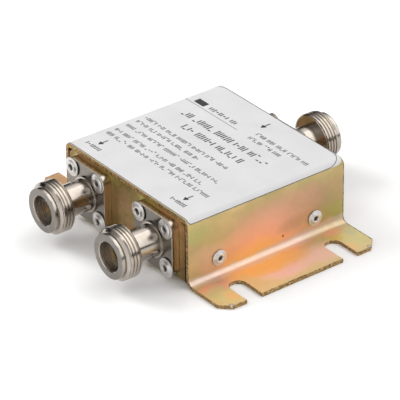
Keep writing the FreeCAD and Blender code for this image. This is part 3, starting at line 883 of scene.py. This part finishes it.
def label_sheet():
    """The label: a film with rounded corners that follows the cover's two bends."""
    bm = bmesh.new()
    divide_at_bends(bm, *rounded_field(bm, 0.0, label_back_corner, label_front_corner))
    bmesh.ops.translate(bm, vec=(0, 0, cover_height), verts=bm.verts)
    thicken(bm, bm.faces[:], label_face - cover_height)
    onto_label(bm)
    return bm


def label_border():
    """A thin printed line round the label's edge, rounder at the input end's corners."""
    bm = bmesh.new()
    extent = rounded_field(bm, border_inset, border_back_corner, label_front_corner)
    inside = bm.faces[:]
    bmesh.ops.inset_region(bm, faces=inside, thickness=border_line, use_even_offset=True,
                           use_boundary=True)
    bmesh.ops.delete(bm, geom=inside, context="FACES")
    divide_at_bends(bm, *extent)
    bmesh.ops.translate(bm, vec=(0, 0, label_face - print_layer), verts=bm.verts)
    thicken(bm, bm.faces[:], 2 * print_layer)
    onto_label(bm)
    return bm


def seated_socket(name, end):
    """A socket with its insulator, its contact and four rivets, pointing out of an end wall."""
    x, y, z = middle_of(f"{name}_socket_body")
    piece(socket_body(), f"{name}_socket", [nickel, bore_nickel_painted_light, face_nickel_painted_shade, side_nickel_with_reflection],
          [f"{name}_socket_body"], on_end(x, end, z), turn_out=False)
    for kind, finish, slot in (("insulator", fluoropolymer, "white_fluoropolymer"),
                               ("contact", gold, "gold_plate")):
        inner = merged_copy(f"{name}_{kind}")
        soften(inner, inner_edge * mm, angle=50)
        piece(inner, f"{name}_{kind}_turned", [finish], [f"{name}_{kind}"], turn_out=False)
    for number in range(1, 5):
        x, y, z = middle_of(f"{name}_rivet_{number}")
        piece(rivet(*end_rivet_sizes), f"{name}_blind_rivet_{number}", [aluminium, stem_steel],
              [f"{name}_rivet_{number}"], on_end(x, end, z, flange_thickness))


def side_rivet(number):
    """One of the four rivets that hold the cover's sides to the tray."""
    x, y, z = middle_of(f"cover_rivet_{number}")
    piece(rivet(*side_rivet_sizes), f"cover_blind_rivet_{number}", [aluminium, stem_steel],
          [f"cover_rivet_{number}"], on_side(math.copysign(1, x), y, z))


in_metres = Matrix.Scale(mm, 4)

folded_sheet("cover", cover_finish, is_cover_edge)
folded_sheet("tray", tray_finish, is_tray_edge)
piece(label_sheet(), "label_sheet", [film], ["label"], in_metres)
seated_socket("out_left", -1)
seated_socket("out_right", -1)
seated_socket("in", 1)
for number in range(1, 5):
    side_rivet(number)

# Print on the label: plain rows of dashes, a bar, a rule and arrows at the ports
small = bmesh.new()
for number, row in enumerate(small_rows):
    dashes(small, *row, *small_dash, small_seed + number)
piece(small, "label_print_rows", [ink_black], place=in_metres)

heading = bmesh.new()
for number, row in enumerate(title_rows):
    dashes(heading, *row, *title_dash, title_seed + number)
dashes(heading, *mark_row, *mark_dash, mark_seed)
for x in output_marks:
    dashes(heading, x + output_row[0], x + output_row[1], output_row_y, *output_dash, output_seed)
    arrow(heading, x, output_arrow_y, -1)
arrow(heading, *input_arrow, -1)
bar(heading, *mark_bar)
piece(heading, "label_print_heading", [ink_black], place=in_metres)

rule = bmesh.new()
bar(rule, *rule_bar)
piece(rule, "label_print_rule", [ink_grey], place=in_metres)

piece(label_border(), "label_print_border", [ink_black], place=in_metres)

# Inner pieces keep their CAD shapes
copper = copper_foil()
inner_finishes = {"circuit_board": board_laminate(), "ground_copper": copper,
                  "divider_line": copper, "isolation_resistor": resistor_ceramic(),
                  "ground_seam": solder, "_solder": solder}
for name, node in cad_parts.items():
    for word, finish in inner_finishes.items():
        if name.startswith(word) or name.endswith(word):
            node.data.materials.clear()
            node.data.materials.append(finish)


def floor():
    """A plain pale floor that the splitter stands on."""
    half_width = 1.6
    bm = bmesh.new()
    bmesh.ops.create_grid(bm, x_segments=1, y_segments=1, size=half_width)
    mesh = bpy.data.meshes.new("floor")
    bm.to_mesh(mesh)
    bm.free()
    made = bpy.data.objects.new("floor", mesh)
    bpy.context.scene.collection.objects.link(made)
    paper = Finish("floor_paper")
    paper.set(Base_Color=(0.95, 0.95, 0.95, 1.0), Roughness=0.9)
    paper.shader.inputs["Specular IOR Level"].default_value = 0.1
    mesh.materials.append(paper.material)


def surroundings():
    """A soft studio: bright above and behind, dim elsewhere, with softboxes and dark gaps."""
    world = bpy.data.worlds.new("studio")
    bpy.context.scene.world = world
    world.use_nodes = True
    nodes = world.node_tree.nodes
    links = world.node_tree.links
    toward = nodes.new("ShaderNodeTexCoord").outputs["Generated"]

    def lobe(direction, start, full, low, high):
        """A value that goes from low to high towards a direction."""
        near = nodes.new("ShaderNodeVectorMath")
        near.operation = "DOT_PRODUCT"
        links.new(toward, near.inputs[0])
        near.inputs[1].default_value = Vector(direction).normalized()
        value = nodes.new("ShaderNodeMapRange")
        value.interpolation_type = "SMOOTHSTEP"
        links.new(near.outputs["Value"], value.inputs["Value"])
        for name, number in (("From Min", start), ("From Max", full), ("To Min", low),
                             ("To Max", high)):
            value.inputs[name].default_value = number
        return value.outputs[0]

    def combined(operation, first, second):
        made = nodes.new("ShaderNodeMath")
        made.operation = operation
        links.new(first, made.inputs[0])
        links.new(second, made.inputs[1])
        return made.outputs[0]

    # Softboxes and gaps: direction, the cosines at the rim and where it is full, strength there
    overhead = (0.12, 0.52, 0.85), 0.88, 0.97, 1.4
    overhead_left = (-0.38, 0.52, 0.76), 0.92, 0.99, 0.6
    behind_right = (0.74, 0.54, 0.40), 0.86, 0.96, 1.3
    low_right = (0.87, -0.45, 0.15), 0.75, 0.95, 0.4
    output_end = (0.15, -0.88, 0.42), 0.78, 0.95, 0.85
    above_outputs = (-0.10, -0.38, 0.92), 0.60, 0.90, 0.12
    gap_left = (-0.95, -0.24, 0.14), 0.90, 0.94, 0.01
    gap_behind_left = (-0.87, 0.48, 0.12), 0.955, 0.98, 0.01
    gap_behind_right = (0.86, 0.50, -0.10), 0.93, 0.97, 0.05

    # The sky itself brightens from 0.30 to 0.82 towards the upper back
    strength = lobe((0.0, 0.52, 0.85), 0.50, 0.97, 0.30, 0.82)
    for direction, rim, full, bright in (overhead, overhead_left, behind_right, low_right,
                                         output_end, above_outputs):
        strength = combined("ADD", strength, lobe(direction, rim, full, 0.0, bright))
    for direction, rim, full, dim in (gap_left, gap_behind_left, gap_behind_right):
        strength = combined("MULTIPLY", strength, lobe(direction, rim, full, 1.0, dim))
    links.new(strength, nodes["Background"].inputs["Strength"])
    nodes["Background"].inputs["Color"].default_value = (1.0, 1.0, 1.0, 1.0)


def area_light(name, place, target, size, power):
    """A square soft light at a place, turned to a target, both in metres."""
    lamp = bpy.data.lights.new(name, "AREA")
    lamp.shape = "SQUARE"
    lamp.size = size
    lamp.energy = power
    made = bpy.data.objects.new(name, lamp)
    bpy.context.scene.collection.objects.link(made)
    made.visible_glossy = False
    made.location = place
    made.rotation_euler = (Vector(target) - Vector(place)).to_track_quat("-Z", "Y").to_euler()


def camera():
    """The photograph's view: long lens, looking down over the output end's right corner."""
    away = Vector((math.sin(view_azimuth) * math.cos(view_elevation),
                   -math.cos(view_azimuth) * math.cos(view_elevation), math.sin(view_elevation)))
    level = (-away).cross(Vector((0, 0, 1))).normalized()
    upright = level.cross(-away)
    right = level * math.cos(view_roll) + upright * math.sin(view_roll)
    up = upright * math.cos(view_roll) - level * math.sin(view_roll)
    lens = bpy.data.cameras.new("camera")
    lens.sensor_width = 36.0
    lens.lens = lens.sensor_width * focal_length / picture_width
    lens.clip_start = 0.05
    lens.clip_end = 20.0
    made = bpy.data.objects.new("camera", lens)
    bpy.context.scene.collection.objects.link(made)
    turn = Matrix((right, up, away)).transposed().to_4x4()
    stand = level * view_shift[0] + upright * view_shift[1] + away * view_distance
    made.matrix_world = Matrix.Translation(stand * mm) @ turn
    bpy.context.scene.camera = made


floor()
surroundings()
area_light("key_light", place=(-0.72, -0.36, 0.56), target=(0, 0, 0), size=0.5, power=6.0)
camera()
bpy.context.scene.view_settings.view_transform = "Standard"
